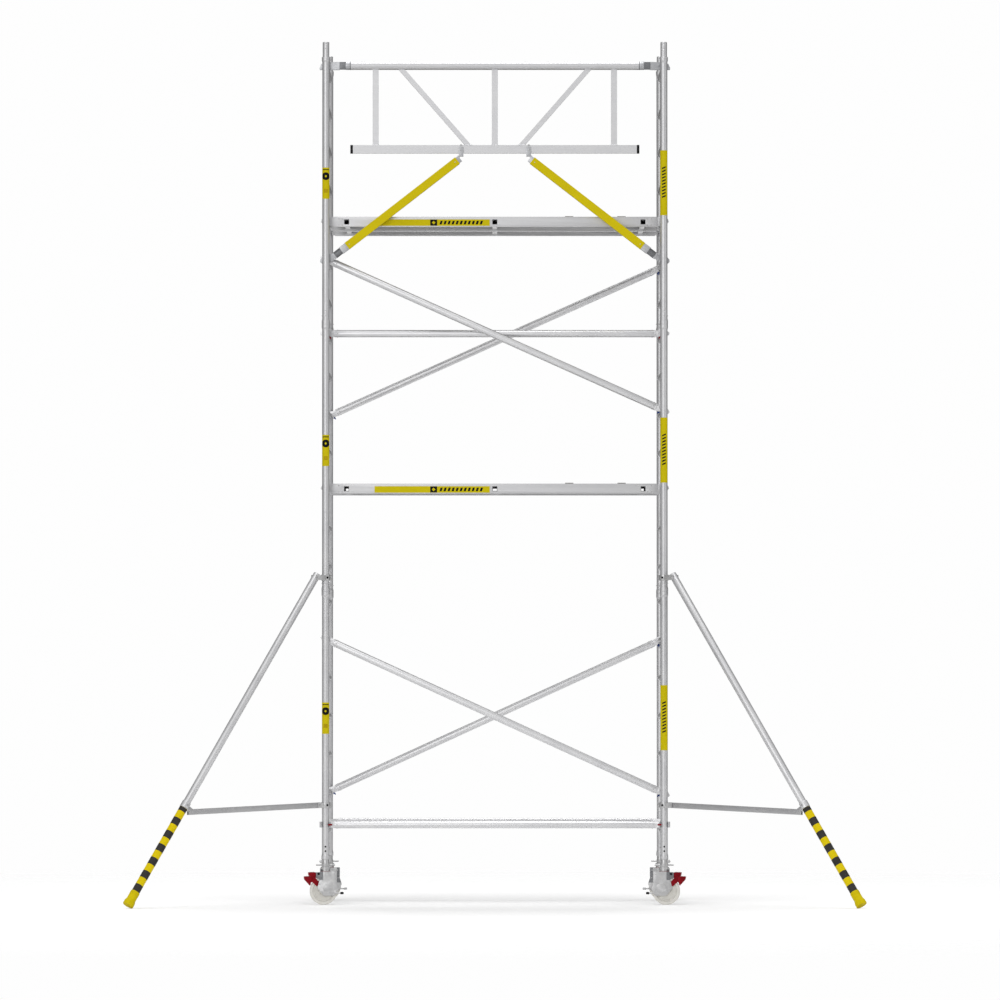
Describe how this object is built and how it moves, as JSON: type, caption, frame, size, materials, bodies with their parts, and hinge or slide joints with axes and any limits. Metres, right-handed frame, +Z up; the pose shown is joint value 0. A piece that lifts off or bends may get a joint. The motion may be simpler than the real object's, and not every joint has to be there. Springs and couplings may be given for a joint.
{
  "type": "mobile tower scaffold",
  "caption": "Mobile access tower of stacked ladder frames with braces, railed working platforms, hatches, splayed stabilisers and braked swivel castors.",
  "frame": {"origin": "on the floor, centred under the part's bounding box", "axes": "+X along the tower's length, +Z up, -Y towards the guardrail and stabilisers"},
  "size_m": [5.2836, 2.4548, 6.251],
  "materials": {
    "aluminium_tube": "brushed mill finish",
    "aluminium_profile": "satin extruded",
    "deck_board": "phenolic-faced plywood with an anti-slip pattern",
    "yellow_paint": "satin yellow, striped black on the stabiliser sleeves",
    "yellow_rubber": "matte",
    "zinc_steel": "zinc plated",
    "nylon": "cream cast nylon",
    "dark_red_plastic": "semi-gloss",
    "red_plastic": "semi-gloss",
    "blue_plastic": "semi-gloss"
  },
  "bodies": {
    "tower": {"frame_l1": "aluminium_tube", "frame_l2": "aluminium_tube", "frame_l3": "aluminium_tube", "frame_r1": "aluminium_tube", "frame_r2": "aluminium_tube", "frame_r3": "aluminium_tube", "frame_clips": "zinc_steel", "brace_low_front": "aluminium_tube", "brace_low_rear": "aluminium_tube", "brace_high_front": "aluminium_tube", "diag_low_front": "aluminium_tube", "diag_low_rear": "aluminium_tube", "diag_high_front": "aluminium_tube", "diag_high_rear": "aluminium_tube", "deck_mid_frame": "aluminium_profile", "deck_mid_board": "deck_board", "deck_top_frame": "aluminium_profile", "deck_top_board": "deck_board", "deck_rear_frame": "aluminium_profile", "deck_rear_board": "deck_board", "guardrail_frame": "aluminium_tube", "guardrail_legs": "yellow_paint", "guardrail_fittings": "zinc_steel"},
    "trig_low_front": {"trig_low_front": "red_plastic"},
    "trig_low_rear": {"trig_low_rear": "red_plastic"},
    "trig_high_front": {"trig_high_front": "red_plastic"},
    "trig_diag_low_front": {"trig_diag_low_front": "blue_plastic"},
    "trig_diag_low_rear": {"trig_diag_low_rear": "blue_plastic"},
    "trig_diag_high_front": {"trig_diag_high_front": "blue_plastic"},
    "trig_diag_high_rear": {"trig_diag_high_rear": "blue_plastic"},
    "hatch_mid": {"deck_mid_hatch": "deck_board"},
    "hatch_top": {"deck_top_hatch": "deck_board"},
    "nut_fl": {"nut_fl": "zinc_steel"},
    "spindle_fl": {"spindle_fl": "zinc_steel"},
    "fork_fl": {"fork_fl": "zinc_steel"},
    "wheel_fl": {"wheel_fl": "nylon"},
    "pedal_fl": {"pedal_fl": "dark_red_plastic"},
    "nut_fr": {"nut_fr": "zinc_steel"},
    "spindle_fr": {"spindle_fr": "zinc_steel"},
    "fork_fr": {"fork_fr": "zinc_steel"},
    "wheel_fr": {"wheel_fr": "nylon"},
    "pedal_fr": {"pedal_fr": "dark_red_plastic"},
    "nut_rl": {"nut_rl": "zinc_steel"},
    "spindle_rl": {"spindle_rl": "zinc_steel"},
    "fork_rl": {"fork_rl": "zinc_steel"},
    "wheel_rl": {"wheel_rl": "nylon"},
    "pedal_rl": {"pedal_rl": "dark_red_plastic"},
    "nut_rr": {"nut_rr": "zinc_steel"},
    "spindle_rr": {"spindle_rr": "zinc_steel"},
    "fork_rr": {"fork_rr": "zinc_steel"},
    "wheel_rr": {"wheel_rr": "nylon"},
    "pedal_rr": {"pedal_rr": "dark_red_plastic"},
    "stabiliser_l": {"stab_clamps_l": "zinc_steel", "stab_leg_l": "aluminium_tube"},
    "extension_l": {"stab_sleeve_l": "yellow_paint", "stab_boot_l": "yellow_rubber"},
    "stabiliser_r": {"stab_clamps_r": "zinc_steel", "stab_leg_r": "aluminium_tube"},
    "extension_r": {"stab_sleeve_r": "yellow_paint", "stab_boot_r": "yellow_rubber"}
  },
  "joints": [
    {"name": "trig_low_front_pull", "type": "slide", "parent": "tower", "child": "trig_low_front", "axis": [0, -1, 0], "range_m": [0, 0.005], "stiffness_N_per_m": 600},
    {"name": "trig_low_rear_pull", "type": "slide", "parent": "tower", "child": "trig_low_rear", "axis": [0, 1, 0], "range_m": [0, 0.005], "stiffness_N_per_m": 600},
    {"name": "trig_high_front_pull", "type": "slide", "parent": "tower", "child": "trig_high_front", "axis": [0, 0, -1], "range_m": [0, 0.005], "stiffness_N_per_m": 600},
    {"name": "trig_diag_low_front_pull", "type": "slide", "parent": "tower", "child": "trig_diag_low_front", "axis": [-0.4158, 0, -0.9095], "range_m": [0, 0.005], "stiffness_N_per_m": 600},
    {"name": "trig_diag_low_rear_pull", "type": "slide", "parent": "tower", "child": "trig_diag_low_rear", "axis": [0.4158, 0, -0.9095], "range_m": [0, 0.005], "stiffness_N_per_m": 600},
    {"name": "trig_diag_high_front_pull", "type": "slide", "parent": "tower", "child": "trig_diag_high_front", "axis": [-0.409, 0, -0.9125], "range_m": [0, 0.005], "stiffness_N_per_m": 600},
    {"name": "trig_diag_high_rear_pull", "type": "slide", "parent": "tower", "child": "trig_diag_high_rear", "axis": [0.409, 0, -0.9125], "range_m": [0, 0.005], "stiffness_N_per_m": 600},
    {"name": "hatch_mid_lid", "type": "hinge", "parent": "tower", "child": "hatch_mid", "pos_m": [0.73, -0.01256, 3.053], "axis": [1, 0, 0], "range_deg": [0, 95]},
    {"name": "hatch_top_lid", "type": "hinge", "parent": "tower", "child": "hatch_top", "pos_m": [0.73, -0.01256, 4.991], "axis": [1, 0, 0], "range_deg": [0, 95]},
    {"name": "nut_fl_turn", "type": "hinge", "parent": "tower", "child": "nut_fl", "pos_m": [-1.225, -0.14155, 0.287], "axis": [0, 0, 1], "continuous": true},
    {"name": "spindle_fl_height", "type": "slide", "parent": "tower", "child": "spindle_fl", "axis": [0, 0, -1], "range_m": [0, 0.15]},
    {"name": "fork_fl_swivel", "type": "hinge", "parent": "spindle_fl", "child": "fork_fl", "pos_m": [-1.225, -0.14155, 0.248], "axis": [0, 0, 1], "continuous": true},
    {"name": "wheel_fl_roll", "type": "hinge", "parent": "fork_fl", "child": "wheel_fl", "pos_m": [-1.24, -0.14155, 0.1], "axis": [0, 1, 0], "continuous": true},
    {"name": "pedal_fl_release", "type": "hinge", "parent": "fork_fl", "child": "pedal_fl", "pos_m": [-1.267, -0.14155, 0.152], "axis": [0, 1, 0], "range_deg": [0, 20]},
    {"name": "nut_fr_turn", "type": "hinge", "parent": "tower", "child": "nut_fr", "pos_m": [1.225, -0.14155, 0.287], "axis": [0, 0, 1], "continuous": true},
    {"name": "spindle_fr_height", "type": "slide", "parent": "tower", "child": "spindle_fr", "axis": [0, 0, -1], "range_m": [0, 0.15]},
    {"name": "fork_fr_swivel", "type": "hinge", "parent": "spindle_fr", "child": "fork_fr", "pos_m": [1.225, -0.14155, 0.248], "axis": [0, 0, 1], "continuous": true},
    {"name": "wheel_fr_roll", "type": "hinge", "parent": "fork_fr", "child": "wheel_fr", "pos_m": [1.24, -0.14155, 0.1], "axis": [0, 1, 0], "continuous": true},
    {"name": "pedal_fr_release", "type": "hinge", "parent": "fork_fr", "child": "pedal_fr", "pos_m": [1.267, -0.14155, 0.152], "axis": [0, -1, 0], "range_deg": [0, 20]},
    {"name": "nut_rl_turn", "type": "hinge", "parent": "tower", "child": "nut_rl", "pos_m": [-1.225, 1.15844, 0.287], "axis": [0, 0, 1], "continuous": true},
    {"name": "spindle_rl_height", "type": "slide", "parent": "tower", "child": "spindle_rl", "axis": [0, 0, -1], "range_m": [0, 0.15]},
    {"name": "fork_rl_swivel", "type": "hinge", "parent": "spindle_rl", "child": "fork_rl", "pos_m": [-1.225, 1.15844, 0.248], "axis": [0, 0, 1], "continuous": true},
    {"name": "wheel_rl_roll", "type": "hinge", "parent": "fork_rl", "child": "wheel_rl", "pos_m": [-1.24, 1.15844, 0.1], "axis": [0, 1, 0], "continuous": true},
    {"name": "pedal_rl_release", "type": "hinge", "parent": "fork_rl", "child": "pedal_rl", "pos_m": [-1.267, 1.15844, 0.152], "axis": [0, 1, 0], "range_deg": [0, 20]},
    {"name": "nut_rr_turn", "type": "hinge", "parent": "tower", "child": "nut_rr", "pos_m": [1.225, 1.15844, 0.287], "axis": [0, 0, 1], "continuous": true},
    {"name": "spindle_rr_height", "type": "slide", "parent": "tower", "child": "spindle_rr", "axis": [0, 0, -1], "range_m": [0, 0.15]},
    {"name": "fork_rr_swivel", "type": "hinge", "parent": "spindle_rr", "child": "fork_rr", "pos_m": [1.225, 1.15844, 0.248], "axis": [0, 0, 1], "continuous": true},
    {"name": "wheel_rr_roll", "type": "hinge", "parent": "fork_rr", "child": "wheel_rr", "pos_m": [1.24, 1.15844, 0.1], "axis": [0, 1, 0], "continuous": true},
    {"name": "pedal_rr_release", "type": "hinge", "parent": "fork_rr", "child": "pedal_rr", "pos_m": [1.267, 1.15844, 0.152], "axis": [0, -1, 0], "range_deg": [0, 20]},
    {"name": "stabiliser_l_swing", "type": "hinge", "parent": "tower", "child": "stabiliser_l", "pos_m": [-1.225, -0.14155, 1.5], "axis": [0, 0, 1], "range_deg": [-35, 50]},
    {"name": "stabiliser_l_extend", "type": "slide", "parent": "stabiliser_l", "child": "extension_l", "axis": [-0.4571, -0.347, -0.8189], "range_m": [0, 0.3]},
    {"name": "stabiliser_r_swing", "type": "hinge", "parent": "tower", "child": "stabiliser_r", "pos_m": [1.225, -0.14155, 1.5], "axis": [0, 0, 1], "range_deg": [-50, 35]},
    {"name": "stabiliser_r_extend", "type": "slide", "parent": "stabiliser_r", "child": "extension_r", "axis": [0.4571, -0.347, -0.8189], "range_m": [0, 0.3]}
  ]
}
